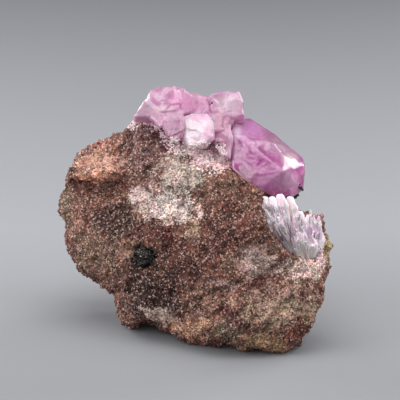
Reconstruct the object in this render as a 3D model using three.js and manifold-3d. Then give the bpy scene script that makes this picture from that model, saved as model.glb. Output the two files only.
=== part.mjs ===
// Cobaltoan calcite: pink calcite crystals on a chunk of red-brown sandy host rock.
// Lengths are in millimetres. Every piece is drawn upright as its display face is looked at
// (x right, y up, z towards the viewer, the ground in front of the stone at y 0) and then
// leant back by LEAN_BACK, which stands it on the ground with z up.
import * as THREE from "three";
import { ConvexGeometry } from "three/addons/geometries/ConvexGeometry.js";
import { ImprovedNoise } from "three/addons/math/ImprovedNoise.js";
import { mergeVertices } from "three/addons/utils/BufferGeometryUtils.js";
import Module from "manifold-3d";

const wasm = await Module();
wasm.setup();

// Driving dimensions of the rock
const LEAN_BACK = THREE.MathUtils.degToRad(18); // display face to the vertical
const HEART = new THREE.Vector3(0, 28, -4); // middle of the rock, from which its skin is drawn
const SLANT = 0.42; // how far the slab comes forward for each millimetre to the right
const FRONT_DEPTH = 16; // middle of the slab to its display face
const BACK_DEPTH = 17; // middle of the slab to its back
const FULLNESS = 3.4; // 2 is an egg, larger is a slab with square shoulders
const SKIN_DETAIL = 16; // splits of an icosahedron's edge, for triangles of about 1.9 mm
const LUMPS = [
  { grain: 10, rise: 2.6 }, // broad lumps, as far apart as grain
  { grain: 4.5, rise: 1.3 },
];
const CREST = 0.3; // share of a lump's rise that stands above the smooth skin

// Driving dimensions of the crystals
const GAP = 0.45; // clearance that each crystal's socket leaves round it
const BLUNT_ANGLE = THREE.MathUtils.degToRad(101.9); // between edges at a calcite rhomb's blunt corner
const BACK_TAPER = 0.3; // how far a block's back face shrinks towards its middle
const BLADE_RINGS = [
  { share: 0, size: 0.62 }, // share of the blade's length, and radius as a share of its width
  { share: 0.78, size: 0.6 },
];
const BLADE_FLATNESS = 0.8; // a blade's depth as a share of its width
const BLADE_TURN = THREE.MathUtils.degToRad(23);
const CHISEL_EDGE = 0.16; // half length of the edge at a blade's tip, as a share of its width

// Outline of the rock as the display face is looked at, anticlockwise from the right-hand rim.
// The stretch from the blades to the crown lies under crystals, and the stretch below y 0 is
// in the ground, which cuts it flat.
const ROCK_OUTLINE = [
  [33.7, 20.2], [34.6, 24], [34.2, 27], [32.9, 29.6], [31, 31.8], [27.8, 32.6], [25.2, 33.2],
  [22.4, 35.9], [18.3, 40.5], [13.7, 45.6], [9.2, 50], [4.3, 53.5], [-0.3, 55.5],
  [-6, 57], [-10.4, 58], [-13.7, 57.2], [-15.6, 55.6], [-19.1, 53.2], [-22.8, 51.8],
  [-26.5, 50.2], [-30, 49], [-32, 47.8], [-32.6, 45.6], [-32.3, 43.4], [-33.4, 40.9],
  [-35, 37.8], [-36, 34.4], [-35.8, 32.3], [-33.3, 31.6], [-32.8, 29.8], [-33.9, 27],
  [-33.3, 24.2], [-32.3, 20.9], [-30.4, 17.9], [-27.2, 15.7], [-23.8, 13.7], [-20.9, 12.3],
  [-19.9, 9.6], [-19.4, 6.7], [-19, 4.4], [-17.5, 3.2], [-12, 4], [-9.5, 3.8],
  [-8, 3], [-6.6, 1.7], [-4.5, 0.3], [1, -2.6], [8, -6], [17, -7], [24, -2.4],
  [27.4, 2.8], [29.4, 5.8], [31.7, 10.4], [32.3, 16],
];

// Flat breaks in the rock: a point on each, and the way it faces.
const BREAKS = {
  displayFace: { at: [4, 24, 14.5], faces: [-0.3, 0.05, 0.95] },
  lowerLeft: { at: [-13.5, 20, 9], faces: [-0.37, -0.21, 0.9] },
  leftFlank: { at: [-13.5, 20, 9.4], faces: [-0.6, 0.2, 0.78] },
  underLedge: { at: [-24, 35, 5], faces: [-0.45, -0.2, 0.87] },
  ledgeTop: { at: [-24, 42.5, 7.4], faces: [-0.12, 0.62, 0.78] },
  darkShoulder: { at: [-12, 44, 10], faces: [-0.1, 0.38, 0.92] },
  crystalBed: { at: [-4.6, 49.4, 8.5], faces: [0.33, 0.83, 0.44] },
  lowerRight: { at: [18, 12, 14.8], faces: [0.15, -0.22, 0.96] },
  rightFlank: { at: [31.4, 14, 10], faces: [0.85, 0.02, 0.52] },
  rightFoot: { at: [26.5, 1, 8], faces: [0.66, -0.6, 0.45] },
  foot: { at: [8, -0.6, 12], faces: [-0.12, -0.85, 0.45] },
  leftFoot: { at: [-15, 3.4, 5], faces: [-0.2, -0.85, 0.45] },
  back: { at: [0, 28, -19], faces: [0.3, 0.1, -0.95] },
  backRight: { at: [24, 24, -9], faces: [0.75, 0.1, -0.65] },
  backSlope: { at: [8, 46, -13], faces: [0.3, 0.66, -0.68] },
  backShoulder: { at: [-20, 45, -24], faces: [-0.35, 0.5, -0.8] },
  backFoot: { at: [-2, 6, -19], faces: [0.05, -0.4, -0.9] },
  leftBack: { at: [-30, 22, -18], faces: [-0.8, -0.3, -0.5] },
};

// Lumps (rise above 0) and hollows (below 0) that stand out of the display face towards the
// viewer: middle, half width and half height.
const RELIEF = [
  { at: [-6, 40.5], half: [9, 5], rise: 1.8 }, // pale crust
  { at: [-12.5, 37], half: [4, 2.5], rise: 1.2 },
  { at: [-25, 43.2], half: [8, 2], rise: 3.2 }, // lip of the ledge
  { at: [-25, 38.6], half: [9, 2.2], rise: -3.4 }, // undercut below it
  { at: [-17.5, 39], half: [1.8, 6], rise: -1.8 }, // groove between the ledge and the crust
  { at: [-11, 30], half: [1.8, 4], rise: -1.2 }, // its lower end
  { at: [-14, 50], half: [3.4, 6], rise: 1.8 }, // dark shoulder
  { at: [-20, 49], half: [2.4, 4], rise: -1.6 },
  { at: [-32, 34], half: [4, 3], rise: 1.6 }, // nose
  { at: [-27, 27], half: [5, 5], rise: 1.2 }, // left flank
  { at: [-13.5, 21.8], half: [2.6, 2.6], rise: -1.4 }, // pit of the ore druse
  { at: [-14, 11], half: [4, 4], rise: 1.2 },
  { at: [2.5, 4.5], half: [4, 3], rise: 1.6 },
  { at: [20, 6], half: [8, 4], rise: 1.4 },
  { at: [28, 13], half: [5, 5], rise: 1 },
  { at: [15, 20], half: [5, 4], rise: -1.4 },
  { at: [4, 14], half: [10, 2], rise: -1.2 },
  { at: [9, 28], half: [7, 4], rise: 1.2 },
];
const RELIEF_FADE = 8; // the relief dies out over this depth towards the middle of the slab

// The crown: crystals that grew into each other along the top. Each is a block with an outline
// on the display side, the depth of its front and back faces, how far its front edge is
// bevelled, how its front face slopes forward to the right and to the top, and how far its back
// face leans to the right and to the top.
const CROWN = [
  {
    outline: [[-15.7, 56.9], [-14.5, 59.5], [-13, 61.2], [-10, 62.4], [-8.5, 58.8], [-10.7, 56.9]],
    z: [4, -4], bevel: 0.5, slope: [0.3, -0.5], lean: [-1, -3],
  },
  {
    outline: [[-12.2, 60.6], [-11.5, 63.7], [-9.7, 64.6], [-5, 64.9], [-3.4, 61.5], [-4.4, 58], [-9.2, 57.6]],
    z: [4.6, -6], bevel: 0.7, slope: [0.25, -0.5], lean: [-2, -4],
  },
  {
    outline: [[-5.6, 64.9], [-2.5, 64], [-0.2, 62.5], [0.6, 59], [-2.4, 57.4], [-6, 58]],
    z: [3.6, -9], bevel: 0.6, slope: [-0.5, -0.3], lean: [2, -6],
  },
  {
    outline: [[-1.8, 62.9], [3.8, 62.3], [5.6, 60.3], [4.6, 57], [-0.6, 56]],
    z: [2.2, -7], bevel: 0.5, slope: [0.1, -0.4], lean: [-3, -5],
  },
  {
    outline: [[3, 62.1], [4.1, 63.1], [10.9, 63.5], [11.8, 60.6], [12.2, 57.2], [9.8, 56.2], [3.8, 57.5]],
    z: [4.4, -5], bevel: 0.5, slope: [0.15, -0.25], lean: [1.5, -6],
  },
  {
    outline: [
      [-8.4, 56.8], [-7.4, 58.4], [-5.3, 59.1], [-3.1, 58.3], [-2.8, 55], [-3.1, 51.7], [-4.6, 50.1],
      [-6.4, 50.9], [-8.1, 53.7],
    ],
    z: [8.5, -6], bevel: 0.9, slope: [0.15, -0.45], lean: [0, -1],
  },
  {
    outline: [[2.8, 56.5], [4.1, 58.2], [6.3, 59], [8.6, 58], [9.7, 55.4], [8.1, 52.6], [3.6, 52.4]],
    z: [6.5, -6], bevel: 0.9, slope: [-0.2, -0.5], lean: [0, -1],
  },
  {
    outline: [[4.3, 52.4], [6.1, 55.4], [8.7, 55.2], [9.2, 50.7], [8.8, 45.9], [6.6, 46.9], [4.6, 49.8]],
    z: [9, -5], bevel: 0.7, slope: [0.2, -0.4], lean: [0, -1],
  },
  {
    outline: [[-12.2, 59.5], [-8.7, 59.6], [-7.4, 56.2], [-8.7, 53.9], [-11.4, 56.3]],
    z: [6, -5], bevel: 0.6, slope: [0.3, -0.6], lean: [0, -1],
  },
];

// The crown runs on over the top edge and down the back as cleavage rhombs: middle, edge length,
// and turn in degrees.
const CROWN_BACK = [
  { at: [-10, 57.5, -7], edge: 8, turn: [20, 10, 15] },
  { at: [-3.5, 57, -8.5], edge: 9, turn: [75, 30, 5] },
  { at: [3.5, 55.5, -8], edge: 9.5, turn: [40, 65, 20] },
  { at: [7.5, 54, -7], edge: 7, turn: [10, 40, 50] },
  { at: [-7.5, 52, -11.5], edge: 7, turn: [50, 20, 70] },
  { at: [0, 51, -12.5], edge: 8, turn: [25, 80, 35] },
  { at: [6.5, 49.5, -12], edge: 7, turn: [65, 15, 25] },
  { at: [12, 48.5, -9.5], edge: 6.5, turn: [30, 45, 80] },
  { at: [-13, 53.5, -9.5], edge: 5.5, turn: [15, 60, 40] },
  { at: [3.5, 46, -15.5], edge: 5.5, turn: [55, 35, 10] },
  { at: [-4, 47.5, -15.5], edge: 5, turn: [35, 70, 60] },
];

// The milky crystal in the middle of the crown.
const WHITE_CRYSTAL = {
  outline: [
    [-3.3, 56.4], [-1, 57.3], [2.8, 57.2], [4.2, 55.2], [4.3, 51.4], [2.5, 49.6], [-1, 48.9], [-3, 50.9],
  ],
  z: [8.2, -2], bevel: 0.7, slope: [0.15, -0.45], lean: [0, 0],
};

// Corners of the single large crystal, a stout rhomb lying down the slope.
const LARGE_CRYSTAL = [
  [8.9, 53.2, 5], [10, 55.9, 1], [13.8, 56.2, -1], [19.3, 53.2, -2], [27.2, 46.3, 1],
  [27.2, 44.4, 5.5], [22.4, 46.6, 8.5], [17.6, 51.6, 6],
  [9.1, 46.9, 9.5], [15.4, 48.2, 10.2], [21.4, 43.2, 12.5],
  [9.2, 43.6, 11], [12.7, 40.4, 13], [16.2, 38.4, 13],
  [27, 38.6, 6], [23.7, 36.8, 8.5], [19.2, 37, 11],
  [12, 52, -12], [22, 47, -11], [26, 41, -8], [25, 36.5, -6], [11, 42, -10], [17, 35, -6],
];

// The hollow that the blades stand in, open to the front and the top.
const BLADE_HOLLOW = {
  outline: [[15, 43], [16, 32.4], [19.8, 26], [23.8, 21.8], [28, 19.2], [31.4, 20.6], [32.2, 27], [33, 43]],
  z: [32, 6], bevel: -3, slope: [0, 0], lean: [0, 0],
};

// Blades that fan out in the hollow: foot, tip, and width of each. A left and a right group lean
// apart and leave a V between them, which thicker blades close at the back.
const BLADES = [
  { foot: [19.4, 27.4, 9.6], tip: [14.8, 36, 13.4], width: 3.6 },
  { foot: [20.8, 26.2, 9.8], tip: [16.8, 36.6, 13.8], width: 3 },
  { foot: [21.6, 25.2, 10], tip: [18.8, 36.4, 14], width: 2.8 },
  { foot: [22.4, 24.4, 10], tip: [20.8, 37.4, 13.6], width: 2.8 },
  { foot: [20.2, 26.4, 10.4], tip: [17.6, 31.6, 15], width: 2.2 },
  { foot: [22, 24, 10.6], tip: [20.4, 31.4, 15.2], width: 2.4 },
  { foot: [23.6, 24.4, 8], tip: [23.6, 36.6, 10.4], width: 2.8 },
  { foot: [25.4, 20.8, 9], tip: [26, 33, 12.6], width: 2.7 },
  { foot: [26.8, 20.2, 9.2], tip: [28.2, 32.2, 13], width: 2.5 },
  { foot: [28.4, 20, 8.8], tip: [30.4, 30.8, 12], width: 2.6 },
  { foot: [29.2, 20.2, 8.6], tip: [31.2, 27.8, 11], width: 2.3 },
  { foot: [25.8, 20.4, 10.2], tip: [26.6, 27.8, 14.6], width: 2.4 },
  { foot: [28.2, 19.8, 9.8], tip: [29.2, 26, 13.6], width: 2.3 },
  { foot: [24.6, 22, 6.6], tip: [24.4, 33.6, 8.4], width: 4 },
  { foot: [20.8, 26, 6], tip: [19.2, 35, 7.6], width: 4.4 },
  { foot: [28.4, 21.4, 5.6], tip: [28.8, 31.4, 7], width: 4.6 },
];

// Black-green crystals in their pit, each a small rhomb: middle, edge length and turn in degrees.
const ORE_DRUSE = [
  { at: [-13.6, 22.6, 5.4], edge: 2.6, turn: [20, 10, 0] },
  { at: [-12.2, 21.6, 5.6], edge: 2.4, turn: [60, 40, 10] },
  { at: [-13.3, 20.6, 5.2], edge: 2.2, turn: [10, 70, 30] },
];

// A point as drawn, leant back on to the ground.
function stand(point) {
  const cos = Math.cos(LEAN_BACK);
  const sin = Math.sin(LEAN_BACK);
  return new THREE.Vector3(
    point.x,
    point.y * sin - point.z * cos,
    point.y * cos + point.z * sin,
  );
}

// Distance from the heart to the outline in the direction of an angle.
function outlineReach(angle) {
  const cos = Math.cos(angle);
  const sin = Math.sin(angle);
  let reach = 0;
  ROCK_OUTLINE.forEach(([x1, y1], i) => {
    const [x2, y2] = ROCK_OUTLINE[(i + 1) % ROCK_OUTLINE.length];
    const [ax, ay] = [x1 - HEART.x, y1 - HEART.y];
    const [dx, dy] = [x2 - x1, y2 - y1];
    const turn = cos * dy - sin * dx;
    const along = (ax * dy - ay * dx) / turn;
    const share = (ax * sin - ay * cos) / turn;
    if (along > 0 && share >= 0 && share <= 1) reach = Math.max(reach, along);
  });
  return reach;
}

// Distance from the heart to the rock's smooth skin: a slab with the outline's rim, cut by the breaks.
function skinReach(direction) {
  const rim = Math.hypot(direction.x, direction.y) /
    outlineReach(Math.atan2(direction.y, direction.x));
  const away = direction.z - SLANT * direction.x;
  const depth = Math.abs(away) / (away > 0 ? FRONT_DEPTH : BACK_DEPTH);
  let reach = (rim ** FULLNESS + depth ** FULLNESS) ** (-1 / FULLNESS);
  for (const { at, faces } of Object.values(BREAKS)) {
    const normal = new THREE.Vector3(...faces).normalize();
    const along = normal.dot(direction);
    const distance = new THREE.Vector3(...at).sub(HEART).dot(normal);
    if (along > 0) reach = Math.min(reach, distance / along);
  }
  return reach;
}

const noise = new ImprovedNoise();

// Height of the rough ground rock at a point: broad lumps with smaller ones on them.
function roughness(point) {
  let height = 0;
  for (const { grain, rise } of LUMPS) {
    const wave = noise.noise(point.x / grain, point.y / grain, point.z / grain);
    height += rise * (CREST - Math.abs(wave));
  }
  return height;
}

// How far the named lumps and hollows bring a point of the display face towards the viewer.
function relief(point) {
  let height = 0;
  for (const { at, half, rise } of RELIEF) {
    const across = (point.x - at[0]) / half[0];
    const up = (point.y - at[1]) / half[1];
    height += rise * Math.exp(-(across * across) - up * up);
  }
  const above = point.z - HEART.z - SLANT * (point.x - HEART.x);
  return height * THREE.MathUtils.smoothstep(above, 0, RELIEF_FADE);
}

// The rock's skin, leant back and cut flat by the ground.
function rockSkin() {
  const skin = new THREE.IcosahedronGeometry(1, SKIN_DETAIL);
  const corners = skin.getAttribute("position");
  const down = new THREE.Vector3(0, -Math.cos(LEAN_BACK), -Math.sin(LEAN_BACK));
  const heartHeight = -down.dot(HEART);
  for (let i = 0; i < corners.count; i++) {
    const direction = new THREE.Vector3().fromBufferAttribute(corners, i).normalize();
    const smooth = direction.clone().multiplyScalar(skinReach(direction)).add(HEART);
    const drawn = smooth.distanceTo(HEART) + roughness(smooth);
    const sinks = down.dot(direction);
    const grounded = sinks > 0 && heartHeight / sinks < drawn;
    const point = direction.multiplyScalar(grounded ? heartHeight / sinks : drawn).add(HEART);
    if (!grounded) point.z += relief(point);
    const placed = stand(point);
    corners.setXYZ(i, placed.x, placed.y, grounded ? 0 : placed.z);
  }
  return skin;
}

// Corners of a crystal block: its tapered back, the rim of its front, and its bevelled front face.
function blockCorners({ outline, z: [front, back], bevel, slope, lean }) {
  const middle = new THREE.Vector2();
  outline.forEach(([x, y]) => middle.add(new THREE.Vector2(x, y)));
  middle.divideScalar(outline.length);
  return outline.flatMap(([x, y]) => {
    const rise = (x - middle.x) * slope[0] + (y - middle.y) * slope[1];
    const rim = new THREE.Vector2(x, y);
    const inward = middle.clone().sub(rim).setLength(bevel);
    const rear = rim.clone().lerp(middle, BACK_TAPER);
    return [
      new THREE.Vector3(rear.x + lean[0], rear.y + lean[1], back),
      new THREE.Vector3(x, y, front + rise - Math.abs(bevel)),
      new THREE.Vector3(x + inward.x, y + inward.y, front + rise),
    ];
  });
}

// Corners of a blade: a six-sided column that ends in a chisel tip. Each blade in the list is
// turned a little more about its own length than the one before.
function bladeCorners({ foot, tip, width }, index) {
  const start = new THREE.Vector3(...foot);
  const end = new THREE.Vector3(...tip);
  const along = end.clone().sub(start).normalize();
  const side = new THREE.Vector3(1, 0, 0).cross(along).normalize();
  const across = along.clone().cross(side);
  const corners = [
    end.clone().addScaledVector(across, width * CHISEL_EDGE),
    end.clone().addScaledVector(across, -width * CHISEL_EDGE),
  ];
  for (const { share, size } of BLADE_RINGS) {
    for (let k = 0; k < 6; k++) {
      const angle = (k * Math.PI) / 3 + index * BLADE_TURN;
      corners.push(
        start.clone().lerp(end, share)
          .addScaledVector(across, Math.cos(angle) * size * width)
          .addScaledVector(side, Math.sin(angle) * size * width * BLADE_FLATNESS),
      );
    }
  }
  return corners;
}

// Corners of a calcite cleavage rhomb.
function rhombCorners({ at, edge, turn }) {
  const spread = Math.asin(Math.sqrt((1 - Math.cos(BLUNT_ANGLE)) / 1.5));
  const euler = new THREE.Euler(...turn.map(THREE.MathUtils.degToRad));
  const halfEdges = [0, 1, 2].map((k) =>
    new THREE.Vector3()
      .setFromSphericalCoords(edge / 2, spread, (k * Math.PI * 2) / 3)
      .applyEuler(euler));
  const corners = [];
  for (let k = 0; k < 8; k++) {
    const corner = new THREE.Vector3(...at);
    halfEdges.forEach((half, bit) => corner.addScaledVector(half, (k >> bit) & 1 ? 1 : -1));
    corners.push(corner);
  }
  return corners;
}

// A closed mesh with shared corners merged, as a solid.
function solidOf(geometry) {
  const bare = geometry.clone();
  bare.deleteAttribute("normal");
  bare.deleteAttribute("uv");
  const merged = mergeVertices(bare, 1e-4);
  return new wasm.Manifold(new wasm.Mesh({
    numProp: 3,
    vertProperties: merged.getAttribute("position").array,
    triVerts: new Uint32Array(merged.index.array),
  }));
}

// One convex crystal as a solid, each corner moved out from its middle by swell.
function crystalSolid(corners, swell = 0) {
  const middle = new THREE.Vector3();
  corners.forEach((corner) => middle.add(corner));
  middle.divideScalar(corners.length);
  const placed = corners.map((corner) => {
    const out = corner.clone().sub(middle).setLength(swell);
    return stand(corner.clone().add(out));
  });
  return solidOf(new ConvexGeometry(placed));
}

// Crystals that grew into each other, joined in one solid.
function joined(crystals, swell = 0) {
  return crystals
    .map((corners) => crystalSolid(corners, swell))
    .reduce((whole, next) => whole.add(next));
}

// The largest body of a solid, without the slivers that a neighbour's socket cuts off it.
function mainBody(solid) {
  return solid.decompose().reduce((most, body) => (body.volume() > most.volume() ? body : most));
}

// A solid as a named mesh.
function meshOf(name, solid, colour, roughness, opacity = 1) {
  const { numProp, numVert, vertProperties, triVerts } = solid.getMesh();
  const positions = new Float32Array(numVert * 3);
  for (let i = 0; i < numVert; i++) {
    positions.set(vertProperties.subarray(i * numProp, i * numProp + 3), i * 3);
  }
  const geometry = new THREE.BufferGeometry()
    .setAttribute("position", new THREE.BufferAttribute(positions, 3))
    .setIndex(new THREE.BufferAttribute(new Uint32Array(triVerts), 1));
  geometry.computeVertexNormals();
  const material = new THREE.MeshStandardMaterial({
    color: colour, roughness, metalness: 0, flatShading: true,
    transparent: opacity < 1, opacity,
  });
  const mesh = new THREE.Mesh(geometry, material);
  mesh.name = name;
  return mesh;
}

const rock = solidOf(rockSkin());
const crownCorners = [...CROWN.map(blockCorners), ...CROWN_BACK.map(rhombCorners)];
const whiteCorners = [blockCorners(WHITE_CRYSTAL)];
const largeCorners = [LARGE_CRYSTAL.map((corner) => new THREE.Vector3(...corner))];
const bladeSets = BLADES.map(bladeCorners);
const oreCorners = ORE_DRUSE.map(rhombCorners);

const large = joined(largeCorners);
const largeSocket = joined(largeCorners, GAP);
const white = mainBody(joined(whiteCorners).subtract(largeSocket));
const whiteSocket = joined(whiteCorners, GAP);
const crown = mainBody(joined(crownCorners).subtract(largeSocket).subtract(whiteSocket));
const blades = mainBody(joined(bladeSets).subtract(largeSocket));
const ore = joined(oreCorners);
const sockets = [
  joined([blockCorners(BLADE_HOLLOW)]), largeSocket, whiteSocket,
  joined(crownCorners, GAP), joined(bladeSets, GAP), joined(oreCorners, GAP),
];
const matrix = mainBody(sockets.reduce((whole, socket) => whole.subtract(socket), rock));

const specimen = new THREE.Group();
specimen.add(
  meshOf("matrix", matrix, 0x7a5a4c, 0.9),
  meshOf("crown_crystals", crown, 0xe0a3cf, 0.25, 0.8),
  meshOf("white_crystal", white, 0xf0e6ee, 0.4, 0.9),
  meshOf("large_crystal", large, 0xc868b0, 0.2, 0.8),
  meshOf("blade_crystals", blades, 0xcdb4cf, 0.3, 0.85),
  meshOf("ore_druse", ore, 0x1f2a24, 0.45),
);

// The origin is the middle of the specimen's footprint box, on the ground.
const box = new THREE.Box3().setFromObject(specimen);
const centre = box.getCenter(new THREE.Vector3());
specimen.position.set(-centre.x, -centre.y, 0);

export default specimen;
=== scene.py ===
# %% [markdown]
# # A cobaltoan calcite specimen
# A chunk of sandy, red-brown host rock carries a crown of pale pink calcite, a milky crystal,
# one large magenta crystal and, in a hollow on its right, a fan of lilac blades. The rock's
# solids come from the frame. Here each of them gets its finish: broken stone, sugary grains,
# and clear to cloudy crystal with cleavage steps.

# %% Load the frame
import math

import bpy
import numpy as np
from mathutils import Matrix, Vector, kdtree, noise
from mathutils.bvhtree import BVHTree


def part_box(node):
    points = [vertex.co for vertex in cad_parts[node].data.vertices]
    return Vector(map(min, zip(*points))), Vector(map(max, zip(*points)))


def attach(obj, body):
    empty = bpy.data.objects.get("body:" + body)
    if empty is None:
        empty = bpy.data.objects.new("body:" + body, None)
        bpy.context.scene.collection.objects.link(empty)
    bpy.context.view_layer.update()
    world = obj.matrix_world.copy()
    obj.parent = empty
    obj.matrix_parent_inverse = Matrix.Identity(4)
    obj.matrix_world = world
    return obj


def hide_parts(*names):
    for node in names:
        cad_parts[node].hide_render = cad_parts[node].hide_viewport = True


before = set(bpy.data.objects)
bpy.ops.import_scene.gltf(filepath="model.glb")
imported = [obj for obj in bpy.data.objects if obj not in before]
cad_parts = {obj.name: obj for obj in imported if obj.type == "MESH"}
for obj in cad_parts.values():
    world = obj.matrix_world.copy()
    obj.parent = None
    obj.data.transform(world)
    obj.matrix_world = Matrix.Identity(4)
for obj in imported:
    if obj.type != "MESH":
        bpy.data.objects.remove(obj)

scene = bpy.context.scene
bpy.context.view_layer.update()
MM = 0.001
print("nodes:", sorted(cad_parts))

# %% [markdown]
# ## The display face and the camera
# A collector looks at the specimen's display face, which leans back from the vertical. Places
# on it are easiest to give as they are seen: x to the right, y up and z towards the eye. One
# function turns such a place into the row frame. Where x 0, y 0, z 0 lies is worked out from
# two corners of the large crystal, so it follows the frame. The camera looks along the same
# lean, and a long lens from 600 mm keeps the outline nearly free of perspective.

# %% Display face and camera
LEAN_BACK = math.radians(18)
LARGE_RIGHT = 27.2 * MM  # x of the large crystal's right-hand edge
LARGE_FRONT = (38.4 * MM, 13 * MM)  # y and z of its foremost corner
PIXEL = 0.2545 * MM  # width of one pixel of the 400 x 400 image at the specimen
PICTURE_MIDDLE = 200
FOOT_PIXEL = (196, 341)  # the pixel of x 0, y 0
CAMERA_DISTANCE = 600 * MM
SENSOR = 36.0
RIGHT = Vector((1, 0, 0))
UP = Vector((0, math.sin(LEAN_BACK), math.cos(LEAN_BACK)))
OUT = Vector((0, -math.cos(LEAN_BACK), math.sin(LEAN_BACK)))

large_low, large_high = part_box("large_crystal")
DISPLAY_ORIGIN = Vector((
    large_high.x - LARGE_RIGHT,
    large_low.y - LARGE_FRONT[0] * UP.y - LARGE_FRONT[1] * OUT.y,
    0))


def on_display(x, y, z=0.0):
    """A place as it is drawn on the display face, in millimetres, in the row frame."""
    return DISPLAY_ORIGIN + (RIGHT * x + UP * y + OUT * z) * MM


def drawn_at(pixel):
    """The x and y on the display face, in millimetres, of a pixel of the picture."""
    return (pixel[0] - FOOT_PIXEL[0]) * PIXEL / MM, (FOOT_PIXEL[1] - pixel[1]) * PIXEL / MM


target = on_display(*drawn_at((PICTURE_MIDDLE, PICTURE_MIDDLE)))
lens = bpy.data.cameras.new("camera")
lens.sensor_width = SENSOR
lens.lens = SENSOR * CAMERA_DISTANCE / (2 * PICTURE_MIDDLE * PIXEL)
lens.clip_start = 0.01
camera = bpy.data.objects.new("camera", lens)
camera.location = target + OUT * CAMERA_DISTANCE
camera.rotation_euler = (math.pi / 2 - LEAN_BACK, 0, 0)
scene.collection.objects.link(camera)
scene.camera = camera
print("display origin", [round(v / MM, 3) for v in DISPLAY_ORIGIN], "mm, lens", round(lens.lens), "mm")

# %% [markdown]
# ## The stage
# The specimen stands on pale grey paper that curves up behind it, so no edge shows between
# floor and wall. A swept profile gives that curve. The lights are wide, soft panels: one on
# each side, one above, and a faint one in front. The one above is the strongest, so that every
# ledge of the stone has a lit top and a shaded underside. Two low ones behind shine through the
# crystals and keep the floor's shadow light.

# %% Colours and nodes
def linear(code):
    """An sRGB hex colour as linear red, green, blue and alpha."""
    levels = [int(code[i:i + 2], 16) / 255 for i in (1, 3, 5)]
    return tuple(v / 12.92 if v <= 0.04045 else ((v + 0.055) / 1.055) ** 2.4 for v in levels) + (1.0,)


def add_node(tree, kind, inputs=None, stops=(), **settings):
    """Adds a node. inputs maps a socket to a value, hex colour or output, and stops fill a colour ramp."""
    node = tree.nodes.new(kind)
    for name, value in settings.items():
        setattr(node, name, value)
    for socket, value in (inputs or {}).items():
        if isinstance(value, bpy.types.NodeSocket):
            tree.links.new(value, node.inputs[socket])
        else:
            node.inputs[socket].default_value = linear(value) if isinstance(value, str) else value
    if stops:
        while len(node.color_ramp.elements) < len(stops):
            node.color_ramp.elements.new(1.0)
        for element, (position, code) in zip(node.color_ramp.elements, stops):
            element.position = position
            element.color = linear(code)
    return node


def new_material(name):
    """An empty node material and its tree."""
    material = bpy.data.materials.new(name)
    material.use_nodes = True
    material.node_tree.nodes.clear()
    return material, material.node_tree


# %% Paper sweep
SWEEP = {"front": -1400, "turn": 520, "radius": 420, "top": 1300, "half_width": 1500}  # millimetres
TURN_STEPS = 24
# The greys are painted shade: the paper is darker at the front and towards the far end and the wall.
PAPER_SHADE_TONES = ((-60, "#7c7d80"), (90, "#86878b"), (380, "#6c6d71"))  # y in millimetres, and the grey there
PAPER_CLOUDS = 9.0  # clouds of slightly uneven grey to a metre


def paper_sweep():
    """A sheet of paper that lies flat, then curves up behind the specimen."""
    profile = [(SWEEP["front"], 0.0)]
    for k in range(TURN_STEPS + 1):
        angle = math.pi / 2 * k / TURN_STEPS
        y = SWEEP["turn"] + SWEEP["radius"] * math.sin(angle)
        profile.append((y, SWEEP["radius"] * (1 - math.cos(angle))))
    profile.append((SWEEP["turn"] + SWEEP["radius"], SWEEP["top"]))
    points = [(side * SWEEP["half_width"] * MM, y * MM, z * MM) for y, z in profile for side in (-1, 1)]
    faces = [(2 * k, 2 * k + 1, 2 * k + 3, 2 * k + 2) for k in range(len(profile) - 1)]
    mesh = bpy.data.meshes.new("paper_sweep")
    mesh.from_pydata(points, [], faces)
    for face in mesh.polygons:
        face.use_smooth = True
    return bpy.data.objects.new("paper_sweep", mesh)


def painted_shade_paper():
    """Matt background paper with painted shade: darker at both ends, with a faint cloudiness."""
    material, tree = new_material("painted_shade_paper")
    place = add_node(tree, "ShaderNodeTexCoord").outputs["Object"]
    axes = add_node(tree, "ShaderNodeSeparateXYZ", {0: place})
    uneven = add_node(tree, "ShaderNodeTexNoise", {"Vector": place, "Scale": PAPER_CLOUDS, "Detail": 3.0})
    near, far = PAPER_SHADE_TONES[0][0], PAPER_SHADE_TONES[-1][0]
    away = add_node(tree, "ShaderNodeMapRange", {0: axes.outputs["Y"], 1: near * MM, 2: far * MM})
    share = add_node(tree, "ShaderNodeMath", {0: uneven.outputs["Fac"], 1: 0.06, 2: away.outputs[0]},
                     operation="MULTIPLY_ADD")
    stops = [((y - near) / (far - near), grey) for y, grey in PAPER_SHADE_TONES]
    tone = add_node(tree, "ShaderNodeValToRGB", {0: share.outputs[0]}, stops)
    shader = add_node(tree, "ShaderNodeBsdfPrincipled", {"Base Color": tone.outputs[0], "Roughness": 0.95})
    add_node(tree, "ShaderNodeOutputMaterial", {"Surface": shader.outputs[0]})
    return material


sweep = paper_sweep()
sweep.data.materials.append(painted_shade_paper())
scene.collection.objects.link(sweep)

# %% Lights
PANELS = {  # middle (mm), width and height (mm), power (W)
    "left_panel": ((-480, -160, 230), (420, 420), 2.5),
    "right_panel": ((480, -160, 340), (520, 520), 1.8),
    "top_panel": ((20, -40, 600), (620, 460), 3.4),
    "front_fill": ((-60, -760, 420), (500, 400), 1.0),
    "left_back_panel": ((-420, 330, 200), (300, 300), 2.1),
    "right_back_panel": ((440, 330, 240), (300, 300), 2.2),
}

for name, (middle, (width, height), power) in PANELS.items():
    panel = bpy.data.lights.new(name, "AREA")
    panel.shape = "RECTANGLE"
    panel.size = width * MM
    panel.size_y = height * MM
    panel.energy = power
    lamp = bpy.data.objects.new(name, panel)
    lamp.location = Vector(middle) * MM
    lamp.rotation_euler = (target - lamp.location).to_track_quat("-Z", "Y").to_euler()
    scene.collection.objects.link(lamp)

world = bpy.data.worlds.new("studio")
world.use_nodes = True
world.node_tree.nodes["Background"].inputs["Color"].default_value = linear("#c9ccd2")
world.node_tree.nodes["Background"].inputs["Strength"].default_value = 0.4
scene.world = world
scene.view_settings.view_transform = "Standard"
print(len(PANELS), "light panels")

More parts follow.
